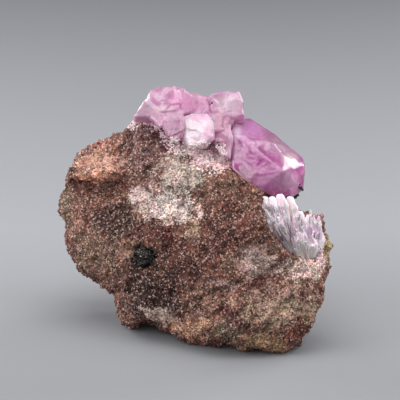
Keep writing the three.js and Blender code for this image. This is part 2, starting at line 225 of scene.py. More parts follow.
# %% [markdown]
# ## From a coarse solid to a fine skin
# The CAD solids have the true form in flat faces. Broken stone and cleaved crystal have finer
# relief than that, so each solid is copied and its copy gets a fine skin. Cutting every face
# into small triangles keeps the edges knife-sharp, which looks like folded paper on a crystal
# that has been handled. A voxel remesh gives even squares instead, and a few rounds of
# smoothing take the edges back by a few tenths of a millimetre, as wear does.

# %% Skins
def skin_of(node, name, voxel, rounding):
    """A piece with the node's form in squares of voxel mm, smoothed rounding times."""
    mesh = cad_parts[node].data.copy()
    mesh.materials.clear()
    piece = bpy.data.objects.new(name, mesh)
    scene.collection.objects.link(piece)
    weld = piece.modifiers.new("weld", "WELD")
    weld.merge_threshold = 0.001 * MM
    grid = piece.modifiers.new("grid", "REMESH")
    grid.mode = "VOXEL"
    grid.voxel_size = voxel * MM
    grid.use_smooth_shade = True
    wear = piece.modifiers.new("wear", "SMOOTH")
    wear.iterations = rounding
    graph = bpy.context.evaluated_depsgraph_get()
    skin = bpy.data.meshes.new_from_object(piece.evaluated_get(graph))
    piece.modifiers.clear()
    piece.data = skin
    skin.name = name
    return piece


def skin_arrays(piece):
    """Places and outward directions of a piece's vertices."""
    count = len(piece.data.vertices)
    places = np.empty(count * 3)
    outward = np.empty(count * 3)
    piece.data.vertices.foreach_get("co", places)
    piece.data.vertices.foreach_get("normal", outward)
    return places.reshape(-1, 3), outward.reshape(-1, 3)


def set_places(piece, places):
    """Moves a piece's vertices."""
    piece.data.vertices.foreach_set("co", np.ascontiguousarray(places).ravel())
    piece.data.update()


# %% [markdown]
# ## Flat breaks
# Stone breaks in small flat chips, each a little higher or lower and a little more tilted than
# the next. Noise alone can't give that, because it has no flats. So seeds are scattered on the
# skin, every point belongs to its nearest seed, and each seed lifts and tilts its own chip.
#
# Calcite cleaves in rhombs that are all turned the same way within one crystal, which leaves
# stairs of parallel steps. The same seeds give each neighbourhood its own turn. The three edges
# of a cleavage rhomb are then used as axes, and every block along them gets its own height.
#
# A crystal's worn faces meet in ridges, without steps. Each seed there owns a shallow, tilted
# bowl, and every point takes the lowest of the bowls near it, so that neighbours cross in a line.

# %% Chips and cleavage
BLUNT_ANGLE = math.radians(101.9)  # between the edges of a calcite rhomb at its blunt corner
DISHES_MEETING = 5  # how many neighbouring dishes are compared at a point
BOX_FACES = 6.5  # a lump's surface, in faces of a cube with the volume of its box
OCTAVE = (1.0, 2.0)  # each octave of noise is half as high and half as wide as the one before


def seeded(places, width, draw, near=1):
    """For each place the numbers of the nearest seeds, and the seeds, which stand about width mm apart."""
    low, high = places.min(0), places.max(0)
    wanted = int(BOX_FACES * np.prod(high - low) ** (2 / 3) / (width * MM) ** 2)
    seeds = places[draw.choice(len(places), min(wanted, len(places)), replace=False)]
    tree = kdtree.KDTree(len(seeds))
    for number, seed in enumerate(seeds):
        tree.insert(seed, number)
    tree.balance()
    return np.array([[number for _, number, _ in tree.find_n(place, near)] for place in places]), seeds


def chips(places, width, step, tilt, draw):
    """Height in metres of flat chips about width mm wide, up to step mm high, that slope by up to tilt."""
    owners, seeds = seeded(places, width, draw)
    owner = owners[:, 0]
    lift = draw.uniform(-1, 1, len(seeds)) * step * MM
    slope = draw.uniform(-1, 1, (len(seeds), 3)) * tilt
    return lift[owner] + ((places - seeds[owner]) * slope[owner]).sum(1)


def dishes(places, width, tilt, depth, draw):
    """Height in metres of tilted dishes, about width mm wide and depth mm deep, that meet in ridges."""
    owners, seeds = seeded(places, width, draw, DISHES_MEETING)
    slope = draw.uniform(-1, 1, (len(seeds), 3)) * tilt
    away = places[:, None] - seeds[owners]
    bowl = (away ** 2).sum(2) * 4 * depth / (width ** 2 * MM)
    return ((away * slope[owners]).sum(2) + bowl).min(1)


def random_turns(draw, count):
    """Random rotation matrices."""
    w, x, y, z = np.split(draw.normal(size=(count, 4)), 4, axis=1)
    size = np.sqrt(w * w + x * x + y * y + z * z)
    w, x, y, z = (q / size for q in (w, x, y, z))
    rows = (
        (1 - 2 * (y * y + z * z), 2 * (x * y - z * w), 2 * (x * z + y * w)),
        (2 * (x * y + z * w), 1 - 2 * (x * x + z * z), 2 * (y * z - x * w)),
        (2 * (x * z - y * w), 2 * (y * z + x * w), 1 - 2 * (x * x + y * y)),
    )
    return np.stack([np.hstack(row) for row in rows], 1)


def rhomb_edges():
    """The three edges of a calcite cleavage rhomb, each 1 long, as rows."""
    spread = math.asin(math.sqrt((1 - math.cos(BLUNT_ANGLE)) / 1.5))
    around = np.arange(3) * math.tau / 3
    return np.stack([np.cos(around) * math.sin(spread), np.sin(around) * math.sin(spread),
                     np.full(3, math.cos(spread))], 1)


def cleavage(places, width, step, crystal, draw):
    """Height in metres of cleavage steps. Blocks of about width mm are turned alike over crystal mm."""
    owners, seeds = seeded(places, crystal, draw)
    owner = owners[:, 0]
    turned = np.einsum("nij,nj->ni", random_turns(draw, len(seeds))[owner], places)
    along = turned @ np.linalg.inv(rhomb_edges()) / (width * MM)
    blocks = np.column_stack([owner, np.floor(along)])
    kinds, kind = np.unique(blocks, axis=0, return_inverse=True)
    return draw.uniform(-1, 1, len(kinds))[kind.ravel()] * step * MM


def grainy(places, size, height, octaves=3, flute=1.0):
    """Fractal noise in metres, features about size mm wide, flute times as long, and height mm high."""
    scale = Vector((1, 1 / flute, 1 / flute)) / (size * MM)
    waves = [noise.fractal(Vector(place) * scale, *OCTAVE, octaves) for place in places]
    return np.array(waves) * height * MM


def solid_tree(piece):
    """A ray-casting tree of a piece."""
    corners = [vertex.co.copy() for vertex in piece.data.vertices]
    return BVHTree.FromPolygons(corners, [face.vertices[:] for face in piece.data.polygons])


# %% [markdown]
# ## Calcite skins
# A crystal's face is never one mirror. It is dished where it was worn, carries low cleavage
# steps where it was knocked, and undulates a little where it grew. High steps would scatter the
# light like crushed ice, so on the calcite they are kept under a tenth of a millimetre. The ore
# is a heap of single small crystals, so its steps are higher. The blades are fluted along their
# length.

# %% Calcite skins
# Each row: piece, voxel, rounds of smoothing, width and height of a cleavage block, size of one
# crystal, height of the waves, width and tilt of a dish, and how far the skin stands proud of the
# solid, towards its neighbours. All are in millimetres, but for the rounds and the tilt, a slope.
CALCITE_SKINS = {
    "crown_crystals": ("crown_calcite", 0.26, 5, 2.6, 0.02, 7.0, 0.07, 4.2, 0.2, 0.2),
    "white_crystal": ("milky_crystal", 0.22, 4, 1.3, 0.01, 5.0, 0.06, 2.6, 0.16, 0.45),
    "large_crystal": ("magenta_crystal", 0.3, 6, 3.0, 0.015, 14.0, 0.07, 6.0, 0.07, 0.15),
    "blade_crystals": ("lilac_blades", 0.2, 1, 1.4, 0.05, 3.0, 0.2, 3.0, 0.05, 0.3),
    "ore_druse": ("ore_crystals", 0.2, 1, 0.6, 0.3, 1.2, 0.3, 1.0, 0.05, 0.12),
}
DISH = 0.03  # depth of a dish as a share of its width
WAVE_WIDTH = 2.2  # millimetres
FLUTE_WIDTH = 0.6
FLUTE = 8.0  # a blade's flutes are this many times as long as they are wide

crystals = {}
draw = np.random.default_rng(31)
for node, (name, voxel, rounding, width, step, crystal, wave, dish, tilt, proud) in CALCITE_SKINS.items():
    piece = skin_of(node, name, voxel, rounding)
    places, outward = skin_arrays(piece)
    relief = proud * MM + cleavage(places, width, step, crystal, draw)
    relief += dishes(places, dish, tilt, dish * DISH, draw)
    if node == "blade_crystals":
        relief += grainy(places, FLUTE_WIDTH, wave, octaves=2, flute=FLUTE)
    else:
        relief += grainy(places, WAVE_WIDTH, wave)
    set_places(piece, places + outward * relief[:, None])
    crystals[node] = piece
    print(name, len(piece.data.polygons), "squares")
crown, milky, magenta, blades, ore = crystals.values()
trees = {piece.name: solid_tree(piece) for piece in crystals.values()}

# %% [markdown]
# ## The host rock
# The rock is a fine-grained, sandy stone, broken with a hammer and never ground. It has broad
# breaks, small ledges along a few lines, chips a few millimetres wide, and a sugary surface of
# grains. The breaks are in the solid. A ledge is a drop across its line that dies out with the
# distance, the chips are two sizes of mosaic, and the grains are fine noise. The crystals grew
# on this rock, so no gap may show round them: where the rock comes near a crystal, its skin is
# drawn on to it.

# %% Rock skin
ROCK_VOXEL = 0.4  # millimetres
ROCK_ROUNDING = 3
ROCK_CHIPS = ((4.6, 0.36, 0.22), (1.7, 0.14, 0.26))  # width and height in millimetres, and slope
ROCK_LUMPS = ((2.2, 0.26, 3), (0.75, 0.1, 2))  # width and height in millimetres, and octaves
WORN = 0.3 * MM  # the relief lowers the skin by this much, so that its peaks keep the outline
GROUND = 0.05 * MM  # the flat base is what lies under this height
CONTACT = 1.1 * MM  # rock nearer than this to a crystal is drawn on to it
EDGES = {  # drop in millimetres from the side on the left of the line to its right, and its pixels
    "lip of the ledge": (1.9, ((64, 181), (84, 180), (106, 180), (136, 186))),
    "edge of the crust": (1.0, ((152, 218), (172, 219), (188, 213), (200, 196), (206, 170))),
    "lit ridge": (1.1, ((178, 305), (205, 291), (238, 277))),
    "fold above the pale patch": (0.7, ((236, 262), (262, 246), (276, 256))),
    "edge of the dark hollow": (0.9, ((122, 268), (146, 262), (170, 240))),
    "right shelf": (1.0, ((262, 322), (285, 296), (322, 288))),
    "brow of the foot": (0.8, ((136, 312), (170, 316), (196, 306))),
}
EDGE_REACH = 3.2  # millimetres over which a drop dies out
EDGE_SHARPNESS = 0.35  # millimetres over which it falls
EDGE_WANDER = (1.4, 0.7)  # width and height in millimetres of the bends in an edge


def to_crystals(place):
    """The nearest point on a crystal and its distance, or the place itself if none is near."""
    near = [trees[piece.name].find_nearest(Vector(place), CONTACT) for piece in (crown, milky, magenta)]
    hits = [(distance, point) for point, _, _, distance in near if point]
    distance, point = min(hits, key=lambda hit: hit[0], default=(CONTACT, Vector(place)))
    return point, distance


def broken_edges(places, outward):
    """Height in metres of the small ledges along the lines in EDGES, on the display side only."""
    drawn = (places - np.array(DISPLAY_ORIGIN)) / MM
    flat = np.stack([drawn @ np.array(RIGHT), drawn @ np.array(UP)], 1)
    ragged = grainy(places, *EDGE_WANDER) / MM
    height = np.zeros(len(places))
    for drop, line in EDGES.values():
        corners = np.array([drawn_at(pixel) for pixel in line])
        nearest = np.full(len(places), np.inf)
        side = np.zeros(len(places))
        for start, end in zip(corners, corners[1:]):
            along = end - start
            share = np.clip((flat - start) @ along / (along @ along), 0, 1)
            away = flat - start - share[:, None] * along
            distance = np.linalg.norm(away, axis=1)
            cross = (along[0] * away[:, 1] - along[1] * away[:, 0]) / np.linalg.norm(along)
            side = np.where(distance < nearest, cross, side)
            nearest = np.minimum(nearest, distance)
        fall = np.tanh((side + ragged) / EDGE_SHARPNESS)
        height += drop / 2 * fall * np.exp(-(nearest / EDGE_REACH) ** 2)
    return height * np.clip(outward @ np.array(OUT) * 2, 0, 1) * MM


rock = skin_of("matrix", "host_rock", ROCK_VOXEL, ROCK_ROUNDING)
places, outward = skin_arrays(rock)
places += broken_edges(places, outward)[:, None] * np.array(OUT)
draw = np.random.default_rng(11)
relief = sum(chips(places, *chip, draw) for chip in ROCK_CHIPS)
relief += sum(grainy(places, *lump) for lump in ROCK_LUMPS) - WORN
resting = places[:, 2] < GROUND
relief[resting] = 0
contacts = [to_crystals(place) for place in places]
reach = np.array([distance for _, distance in contacts])[:, None]
drawn_on = (np.array([point for point, _ in contacts]) - places) * (1 - (reach / CONTACT) ** 2)
shaped = places + np.where(reach < CONTACT, drawn_on, outward * relief[:, None])
shaped[:, 2] = np.maximum(shaped[:, 2], 0)
set_places(rock, shaped)
trees["host_rock"] = solid_tree(rock)
print("rock:", len(rock.data.polygons), "squares,", int(resting.sum()), "points on the base")

# %% [markdown]
# ## Where the colours lie
# The rock is red-brown, but it is stained and crusted in patches: a pale crust in the middle,
# a peach-coloured ledge, khaki flanks. Some patches are painted light and shade as well: shade on
# the lower-left face, under the ledge and on the shoulder, light on the ledge's top. The crystals
# have deeper and paler parts too, and some of their patches are painted shade in hollows and
# painted highlights on edges. Each patch is placed by the pixel where its middle is seen. A ray
# from the camera through that pixel meets the piece, so a patch lies on its skin and stays there
# from any side.

# %% Patches
ROCK_PATCHES = {  # middle (pixel), half width and half height (pixels), colour
    # Painted shade: the lower-left face looks down, away from the lamp above.
    "painted shade on the lower left face": ((145, 296), (44, 38), "#321c15"),
    "khaki left flank": ((95, 256), (36, 30), "#6e5849"),
    "brown left middle": ((122, 220), (26, 22), "#351c14"),
    "shade under the ledge": ((98, 194), (32, 14), "#5f3f33"),
    "khaki nose": ((66, 202), (9, 15), "#625140"),
    "red top of the ledge": ((104, 143), (28, 8), "#946a5e"),
    # Peach stone, with painted light on the ledge's top, which faces the lamp above.
    "peach ledge with painted light on top": ((100, 164), (33, 14), "#a98674"),
    "rusty lip": ((94, 177), (24, 5), "#b1836c"),
    # Dark brown stone, with painted shade on the shoulder's left face.
    "dark shoulder with painted shade": ((144, 148), (20, 30), "#674c48"),
    "whitish vein beside the shoulder": ((150, 182), (5, 13), "#7c635a"),
    "upper crust": ((184, 172), (26, 27), "#a59b91"),
    "lower crust": ((168, 206), (34, 14), "#d6cbc2"),
    "crust lobe": ((141, 196), (13, 9), "#c4b4ad"),
    "white sugar under the milky crystal": ((196, 150), (22, 8), "#e0cfcd"),
    "pink sugary zone": ((213, 158), (18, 14), "#d8b2b2"),
    "khaki spot": ((208, 170), (8, 9), "#806a50"),
    "brown under the large crystal": ((222, 190), (20, 12), "#745548"),
    "rust spot": ((163, 232), (13, 7), "#4c1a14"),
    "khaki speck": ((192, 232), (8, 9), "#86725f"),
    "pale patch": ((257, 262), (19, 16), "#a5938b"),
    "pale vein": ((220, 284), (22, 4), "#8f7771"),
    "whitish foot": ((158, 316), (17, 9), "#b8a69b"),
    "orange foot": ((190, 328), (22, 11), "#ab856c"),
    "grey-green foot": ((228, 331), (16, 9), "#695b4b"),
    "khaki lower right": ((284, 309), (42, 22), "#9c8672"),
    "olive edge": ((264, 343), (24, 8), "#8a7355"),
    "red lower corner": ((296, 332), (13, 11), "#70463a"),
    "light band on the lower right": ((290, 291), (30, 7), "#977a6e"),
    "peach below the blades": ((307, 269), (20, 10), "#dac6ba"),
    "lilac dust beside the blades": ((319, 256), (6, 9), "#cdb8bd"),
    "pink rim above the blades": ((314, 217), (9, 5), "#a8707a"),
    "olive rim": ((329, 245), (6, 17), "#93855f"),
}
CROWN_PATCHES = {
    "deepest pink": ((184, 101), (15, 11), "#ee9bce"),
    "pink saddle": ((202, 104), (12, 10), "#e59bcb"),
    "pale left end": ((142, 108), (11, 9), "#cbb0be"),
    "pale lower edge": ((162, 110), (12, 5), "#efc9dc"),
    "pale right block": ((228, 104), (15, 10), "#fbe0ee"),
    "mauve dome": ((174, 128), (11, 15), "#b87a9d"),
    "dusty crystal": ((220, 122), (13, 12), "#cc86a8"),
    "dusty lower crystal": ((222, 143), (9, 13), "#e2aac4"),
}
MILKY_PATCHES = {
    "bright left": ((193, 127), (9, 12), "#e9d8e2"),
    "pink right": ((209, 134), (6, 11), "#dba6c2"),
    "pink top": ((200, 117), (14, 4), "#e0aecb"),
}
MAGENTA_PATCHES = {
    "lilac upper face": ((248, 130), (18, 14), "#d192c4"),
    # Painted highlight: a bright streak along the upper face's left edge.
    "painted highlight streak": ((238, 130), (4, 7), "#f4d6ec"),
    "pale upper right": ((282, 146), (26, 13), "#c597b2"),
    # Painted highlight where the lamps glint on the upper right face.
    "painted cream highlight": ((291, 160), (9, 7), "#f4dcde"),
    "deep heart": ((262, 163), (17, 13), "#ae4a92"),
    "dusty lower left": ((244, 176), (14, 9), "#9c4e76"),
    "mauve lower right": ((290, 180), (12, 10), "#cf9fbe"),
    # Deep magenta, with painted shade on the crystal's underside above the gap.
    "deep magenta foot with painted shade": ((270, 194), (19, 6), "#b54c8c"),
}
BLADE_PATCHES = {
    "lilac right group": ((314, 232), (12, 13), "#d6b6ce"),
    # Painted shade: the cleft between the two groups of blades.
    "painted shade in the gap between the groups": ((284, 239), (8, 15), "#8c6380"),
    "pale grey face": ((291, 209), (9, 7), "#cfc2be"),
    # Painted highlight along the blades' top edge, which faces the lamp above.
    "painted highlight on the top edge": ((312, 220), (10, 5), "#faf2f6"),
    "white feet": ((302, 249), (20, 9), "#fff4f5"),
}


def seen_on(tree, pixel):
    """The point of a solid that the camera sees at a pixel, or the nearest one to its line of sight."""
    aim = on_display(*drawn_at(pixel))
    hit = tree.ray_cast(camera.location, (aim - camera.location).normalized())[0]
    return hit if hit else tree.find_nearest(aim)[0]


all_patches = (ROCK_PATCHES, CROWN_PATCHES, MILKY_PATCHES, MAGENTA_PATCHES, BLADE_PATCHES)
print(sum(map(len, all_patches)), "patches of colour")

# %% [markdown]
# ## Soft patches in a material
# A patch is an ellipsoid round its middle. Its border is bent and frayed by noise, because a
# clean ellipse would look like paint. Distances are measured in the display face's directions,
# which are a fixed turn of the object's own, so nothing depends on the camera.

# %% Patch nodes
PATCH_DEPTH = 9.0  # millimetres that a patch reaches along the line of sight


def display_place(tree):
    """The shaded point in the object's own directions, and in those of the display face, in metres."""
    place = add_node(tree, "ShaderNodeTexCoord")
    turned = add_node(tree, "ShaderNodeMapping", {"Vector": place.outputs["Object"],
                                                  "Rotation": (LEAN_BACK - math.pi / 2, 0, 0)})
    return place.outputs["Object"], turned.outputs[0]


def sized(place, size, **more):
    """The inputs of a pattern with features about size mm wide, at a place in metres."""
    return {"Vector": place, "Scale": 1 / (size * MM), **more}


def bent(tree, place, size, strength):
    """A place moved about by noise with features of size mm, by up to strength mm."""
    push = add_node(tree, "ShaderNodeTexNoise", sized(place, size, Detail=3.0))
    centred = add_node(tree, "ShaderNodeVectorMath", {0: push.outputs["Color"], 1: (0.5,) * 3},
                       operation="SUBTRACT")
    moved = add_node(tree, "ShaderNodeVectorMath", {
        0: centred.outputs[0], 1: (2 * strength * MM,) * 3, 2: place}, operation="MULTIPLY_ADD")
    return moved.outputs[0]


def shaded(tree, colour, tone, darkest, lightest):
    """A colour made darker or lighter by a tone from 0 to 1."""
    factor = add_node(tree, "ShaderNodeMapRange", {0: tone, 3: darkest, 4: lightest})
    product = add_node(tree, "ShaderNodeVectorMath", {0: colour, 1: factor.outputs[0]}, operation="MULTIPLY")
    return product.outputs[0]


def tinted(tree, colour, place, fray, patches, solid, outer=1.25, inner=0.6):
    """Lays patches over a colour. Each fades from inner to outer, and fray, about 0, moves the fade."""
    turn = Matrix.Rotation(LEAN_BACK - math.pi / 2, 3, "X")
    for pixel, (half_width, half_height), code in patches.values():
        centre = turn @ seen_on(solid, pixel)
        half = (half_width * PIXEL, half_height * PIXEL, PATCH_DEPTH * MM)
        inside = add_node(tree, "ShaderNodeMapping", {
            "Vector": place, "Scale": Vector(1 / h for h in half),
            "Location": Vector(-c / h for c, h in zip(centre, half))})
        reach = add_node(tree, "ShaderNodeVectorMath", {0: inside.outputs[0]}, operation="LENGTH")
        frayed = add_node(tree, "ShaderNodeMath", {0: reach.outputs["Value"], 1: fray})
        share = add_node(tree, "ShaderNodeMapRange", {0: frayed.outputs[0], 1: outer, 2: inner},
                         interpolation_type="SMOOTHSTEP")
        laid = add_node(tree, "ShaderNodeMix", {0: share.outputs[0], 6: colour, 7: code}, data_type="RGBA")
        colour = laid.outputs[2]
    return colour


# %% [markdown]
# ## Sandy stone
# Granular sandstone, broken by hand: dull, with no gloss except on single grains. Its finest
# sand is too small to show, so a grain is drawn 0.38 mm wide, one and a half pixels. Each cell
# of a Voronoi pattern is one grain with its own tone, from dark red-brown to pinkish white. A
# grain's tone also shifts the patches' borders, so that two colours meet grain by grain, as they
# do in real stone.

# %% Sandy stone
GRAIN = 0.38  # millimetres
MOTTLE = 2.4
STAIN = 9
BORDER_SIZE, BORDER_DEPTH = 2.6, 0.75  # bends in a patch's border: millimetres, and share of the patch
BIG_BENDS, SMALL_BENDS = (7, 2.0), (2.2, 0.8)  # width and reach in millimetres of what bends a patch
STONE_TONES = ((0.36, "#492a23"), (0.5, "#664035"), (0.66, "#7a5e4f"))  # place on the ramp, colour
HUES = {1: (0.5, 0.35, 0.4), 2: (0.81, 0.79, 0.76)}  # how much red, green and blue vary, and their least


def stone_colour(tree):
    """The stone's colour, and its grains: tones of red, green and blue that differ from grain to grain."""
    place, turned = display_place(tree)
    grains = add_node(tree, "ShaderNodeTexVoronoi", sized(place, GRAIN))
    tone = add_node(tree, "ShaderNodeSeparateColor", {0: grains.outputs["Color"]})
    stain = add_node(tree, "ShaderNodeTexNoise", sized(place, STAIN, Detail=5.0))
    base = add_node(tree, "ShaderNodeValToRGB", {0: stain.outputs["Fac"]}, STONE_TONES)
    border = add_node(tree, "ShaderNodeTexNoise", sized(place, BORDER_SIZE, Detail=6.0))
    ragged = add_node(tree, "ShaderNodeMapRange", {
        0: border.outputs["Fac"], 1: 0.2, 2: 0.8, 3: -BORDER_DEPTH, 4: BORDER_DEPTH})
    fray = add_node(tree, "ShaderNodeMath", {0: tone.outputs[0], 1: 0.5, 2: ragged.outputs[0]},
                    operation="MULTIPLY_ADD")
    centred = add_node(tree, "ShaderNodeMath", {0: fray.outputs[0], 1: -0.25})
    loose = bent(tree, bent(tree, turned, *BIG_BENDS), *SMALL_BENDS)
    colour = tinted(tree, base.outputs[0], loose, centred.outputs[0], ROCK_PATCHES, trees["host_rock"])
    spots = add_node(tree, "ShaderNodeTexNoise", sized(place, MOTTLE, Detail=5.0))
    tint = add_node(tree, "ShaderNodeVectorMath", {0: spots.outputs["Color"], **HUES}, operation="MULTIPLY_ADD")
    hued = add_node(tree, "ShaderNodeVectorMath", {0: colour, 1: tint.outputs[0]}, operation="MULTIPLY")
    mottled = shaded(tree, hued.outputs[0], spots.outputs["Fac"], 0.2, 1.8)
    return mottled, place, grains, tone


def sandy_stone():
    """Broken sandy stone: every grain has its own tone, and its face its own small bump."""
    material, tree = new_material("broken_sandy_stone")
    colour, place, grains, tone = stone_colour(tree)
    toned = shaded(tree, colour, tone.outputs[1], 0.2, 1.65)
    white = add_node(tree, "ShaderNodeMapRange", {0: tone.outputs[1], 1: 0.78, 2: 1.0, 3: 0.0, 4: 0.52})
    speckled = add_node(tree, "ShaderNodeMix", {0: white.outputs[0], 6: toned, 7: "#dfbfb2"}, data_type="RGBA")
    grit = add_node(tree, "ShaderNodeTexNoise", sized(place, 0.3, Detail=3.0))
    height = add_node(tree, "ShaderNodeMath", {
        0: grains.outputs["Distance"], 1: -0.6, 2: grit.outputs["Fac"]}, operation="MULTIPLY_ADD")
    bump = add_node(tree, "ShaderNodeBump", {
        "Height": height.outputs[0], "Strength": 0.5, "Distance": 0.16 * MM})
    gloss = add_node(tree, "ShaderNodeMapRange", {0: tone.outputs[2], 3: 0.95, 4: 0.6})
    shader = add_node(tree, "ShaderNodeBsdfPrincipled", {
        "Base Color": speckled.outputs[2], "Roughness": gloss.outputs[0], "Normal": bump.outputs[0],
        "Specular IOR Level": 0.3})
    add_node(tree, "ShaderNodeOutputMaterial", {"Surface": shader.outputs[0]})
    return material


def dress(piece, material, slot, *nodes):
    """Gives a piece its material and its place in the object's structure."""
    piece.data.materials.clear()
    piece.data.materials.append(material)
    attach(piece, "root")
    if nodes:
        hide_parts(*nodes)


dress(rock, sandy_stone(), "host_rock", "matrix")

# %% [markdown]
# ## Loose-looking grains
# On a broken sandy surface single grains stand out and catch the light. A bump can't cast their
# small shadows, so thousands of tiny calcite rhombs are set half into the skin. They are one
# joined mesh with no modifiers. A second, pinker mesh of larger grains fills the contact between
# the rock and the crown, where the calcite began to grow. A fan of blades isn't a row of equal
# fingers either: thin splinters lie on it and across its gaps, and they all point away from the
# fan's foot.

# %% Grains
GRAIN_COUNT = 16200
GRAIN_SIZES = (0.18, 0.4)  # millimetres
BASE_MARGIN = 0.4 * MM  # no grains lie lower than this, so that the base stays flat
FAR_SIDE = 0.4  # how dense the grains are on the side that faces away, against the display side
SUGAR_COUNT = 9000
SUGAR_SIZES = (0.22, 0.55)
SUGAR_REACH = 2.6 * MM  # how far from a crystal the sugary grains still grow
SUGAR_THINNING = 1.5  # the power by which they thin out with the distance
SUGAR_FIELD = ((211, 158), 5.5 * MM)  # pixel and radius of a wider field of them under the crown
FIELD_SHARE, FIELD_RIM = 0.7, 1.3  # how dense that field is, and where it ends, in its radius
SUNK, PROUD = -0.15, 0.2  # how far a grain's middle is under or over the skin, in its size
ORE_DUST = ((143, 254), (11, 10), 30, (0.15, 0.35))  # sand on the ore: pixel, half widths, count, sizes
CONTACT_SUGAR = (  # more sugary grains: piece that they sit on, then as for the ore
    ("milky_crystal", (198, 146), (14, 4), 170, (0.2, 0.5)),
    ("crown_calcite", (170, 142), (9, 5), 110, (0.2, 0.45)),
    ("crown_calcite", (222, 152), (6, 8), 90, (0.2, 0.45)),
)
RHOMB_FACES = ((0, 2, 3, 1), (4, 5, 7, 6), (0, 1, 5, 4), (2, 6, 7, 3), (0, 4, 6, 2), (1, 3, 7, 5))
CUBE = np.array([[corner >> axis & 1 for axis in range(3)] for corner in range(8)]) - 0.5
RHOMB = CUBE @ rhomb_edges()
FAN_FOOT = (304, 300)  # the pixel that the blades fan out from
SLIVER = CUBE.copy()
SLIVER[SLIVER[:, 2] > 0, :2] *= 0.35  # a sliver narrows towards its tip
SLIVER_FIELDS = (  # middle and half widths (pixels), count
    ((276, 222), (10, 16), 70),
    ((302, 236), (19, 20), 150),
)
SLIVER_WIDTHS = (0.3, 1.1)  # millimetres
SLIVER_LENGTHS = (1.6, 4.8)
SLIVER_FLATNESS = 0.6  # thickness as a share of the width
SLIVER_LEAN = 0.08
CALCITE_IOR = 1.6  # between its two values, 1.49 and 1.66, because calcite splits the light


def joined(name, corners):
    """One mesh of small blocks, each from its eight corners."""
    faces = np.arange(len(corners))[:, None, None] * 8 + np.array(RHOMB_FACES)
    mesh = bpy.data.meshes.new(name)
    mesh.from_pydata(corners.reshape(-1, 3).tolist(), [], faces.reshape(-1, 4).tolist())
    piece = bpy.data.objects.new(name, mesh)
    scene.collection.objects.link(piece)
    print(name, len(mesh.polygons) * 2, "triangles")
    return piece


def face_arrays(piece):
    """Middles, outward directions and areas of a piece's faces."""
    faces = piece.data.polygons
    middles, outward, areas = np.empty(len(faces) * 3), np.empty(len(faces) * 3), np.empty(len(faces))
    faces.foreach_get("center", middles)
    faces.foreach_get("normal", outward)
    faces.foreach_get("area", areas)
    return middles.reshape(-1, 3), outward.reshape(-1, 3), areas


def rhombs(name, strewn, draw):
    """One mesh of rhombs, each with its middle at a seat, its own size, its own turn and its own tone."""
    seats, sizes = map(np.concatenate, zip(*strewn))
    turned = np.einsum("nij,kj->nki", random_turns(draw, len(seats)), RHOMB)
    corners = turned * sizes[:, None, None] + seats[:, None]
    corners[..., 2] = np.maximum(corners[..., 2], 0)
    piece = joined(name, corners)
    tone = piece.data.attributes.new("grain_tone", "FLOAT", "POINT")
    tone.data.foreach_set("value", np.repeat(draw.random(len(seats)), 8))
    return piece


def seats_in(middles, outward, weights, count, span, draw):
    """Seats and sizes of rhombs set into a skin, with more of them where weights are large."""
    chosen = draw.choice(len(weights), count, p=weights / weights.sum())
    sizes = draw.uniform(*span, count) * MM
    seats = middles[chosen] + outward[chosen] * (sizes * draw.uniform(SUNK, PROUD, count))[:, None]
    return seats, sizes


def swarm(name, middle, half, count, span, draw):
    """Seats and sizes of rhombs scattered on a piece round a pixel."""
    pixels = np.array(middle) + np.clip(draw.normal(0, 0.5, (count, 2)), -1, 1) * half
    return np.array([seen_on(trees[name], pixel) for pixel in pixels]), draw.uniform(*span, count) * MM


def slivers(name, middle, half, count, draw):
    """Thin splinters set into the blades round a pixel. They fan out from FAN_FOOT."""
    foot = on_display(*drawn_at(FAN_FOOT))
    corners = []
    for pixel in np.array(middle) + draw.uniform(-1, 1, (count, 2)) * half:
        seat = seen_on(trees["lilac_blades"], pixel)
        lean = Vector(draw.normal(0, SLIVER_LEAN, 3))
        along = ((seat - foot).normalized() + lean).normalized()
        across = along.cross(Vector(draw.normal(size=3))).normalized()
        width = draw.uniform(*SLIVER_WIDTHS) * MM
        length = draw.uniform(*SLIVER_LENGTHS) * MM
        edges = np.array((across * width, along.cross(across) * width * SLIVER_FLATNESS, along * length))
        corners.append(SLIVER @ edges + np.array(seat))
    return joined(name, np.stack(corners))


def loose_grain():
    """Single grains: tinted like the stone under them, and some of them clean and pinkish white."""
    material, tree = new_material("loose_sand_grain")
    colour, *_ = stone_colour(tree)
    tone = add_node(tree, "ShaderNodeAttribute", attribute_name="grain_tone")
    toned = shaded(tree, colour, tone.outputs["Fac"], 0.35, 1.95)
    white = add_node(tree, "ShaderNodeMapRange", {0: tone.outputs["Fac"], 1: 0.75, 2: 1.0, 3: 0.0, 4: 0.5})
    mixed = add_node(tree, "ShaderNodeMix", {0: white.outputs[0], 6: toned, 7: "#dfc7be"}, data_type="RGBA")
    shader = add_node(tree, "ShaderNodeBsdfPrincipled", {"Base Color": mixed.outputs[2], "Roughness": 0.45})
    add_node(tree, "ShaderNodeOutputMaterial", {"Surface": shader.outputs[0]})
    return material


def sugary_calcite():
    """Small calcite grains that are clear enough to glow: pale pink, some of them nearly white."""
    material, tree = new_material("sugary_pink_calcite")
    tone = add_node(tree, "ShaderNodeAttribute", attribute_name="grain_tone")
    colour = add_node(tree, "ShaderNodeMix", {0: tone.outputs["Fac"], 6: "#bf9aa0", 7: "#f6e6e8"},
                      data_type="RGBA")
    shader = add_node(tree, "ShaderNodeBsdfPrincipled", {
        "Base Color": colour.outputs[2], "Roughness": 0.3, "IOR": CALCITE_IOR, "Subsurface Weight": 0.3,
        "Subsurface Radius": (1.0, 0.6, 0.8), "Subsurface Scale": 0.3 * MM})
    add_node(tree, "ShaderNodeOutputMaterial", {"Surface": shader.outputs[0]})
    return material


